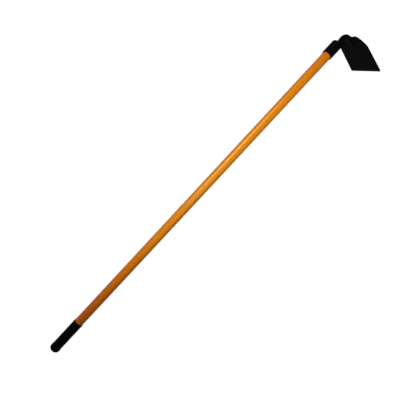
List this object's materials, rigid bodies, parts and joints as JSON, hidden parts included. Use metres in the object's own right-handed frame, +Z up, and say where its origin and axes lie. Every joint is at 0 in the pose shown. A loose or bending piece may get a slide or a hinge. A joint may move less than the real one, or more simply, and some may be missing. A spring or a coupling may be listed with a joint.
{
  "type": "draw hoe",
  "caption": "Long-handled garden draw hoe: tubular fibreglass handle with a rubber end grip, ferrule, bent steel neck and a plate blade set square to the handle.",
  "frame": {"origin": "on the surface the hoe stands on, under the middle of its bounding box", "axes": "+X from the butt towards the head, +Y along the cutting edge, +Z up; the hoe stands on its cutting edge and its butt, so the shaft rises towards the head"},
  "size_m": [1.4781, 0.135, 0.1732],
  "materials": {
    "fibreglass": "glossy orange resin over lengthwise glass fibres",
    "grip_rubber": "matte black rubber",
    "cap_rubber": "satin black rubber",
    "ferrule_paint": "semi-gloss black paint",
    "rivet_paint": "semi-gloss black paint",
    "plug_wood": "bare turned wood",
    "neck_paint": "semi-gloss black paint",
    "blade_paint": "black paint, satin",
    "weld_paint": "black paint over a weld bead"
  },
  "bodies": {
    "root": {"handle_tube": "fibreglass", "grip_sleeve": "grip_rubber", "butt_cap": "cap_rubber", "ferrule": "ferrule_paint", "ferrule_rivet": "rivet_paint", "core_plug": "plug_wood", "neck": "neck_paint", "blade": "blade_paint", "weld_inner": "weld_paint", "weld_outer": "weld_paint"}
  },
  "joints": []
}
